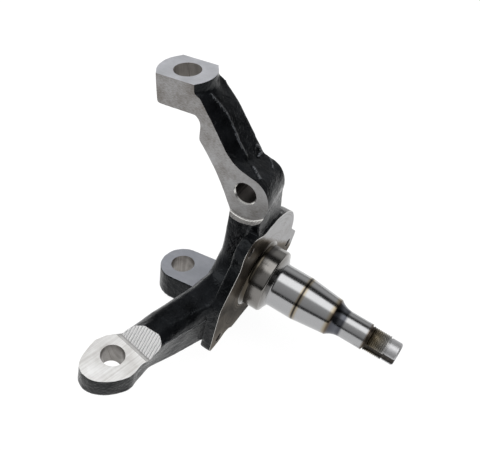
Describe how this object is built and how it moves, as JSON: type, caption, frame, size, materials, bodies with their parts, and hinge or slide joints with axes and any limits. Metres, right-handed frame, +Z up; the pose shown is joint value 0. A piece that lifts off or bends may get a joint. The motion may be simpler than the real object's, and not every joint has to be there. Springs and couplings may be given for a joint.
{
  "type": "steering knuckle",
  "caption": "Forged steel steering knuckle with a tapered wheel spindle, shield flange, caliper hole and steering arm.",
  "frame": {"origin": "spindle axis where it meets the machined face of the brake-shield flange", "axes": "+Y outboard along the spindle, +X forward along the steering arm, +Z up"},
  "size_m": [0.1925, 0.2068, 0.1883],
  "materials": {
    "forged_steel": "black semi-gloss paint on the forging, bare ground and milled steel where it is machined"
  },
  "bodies": {
    "root": {"steering_knuckle": "forged_steel"}
  },
  "joints": []
}
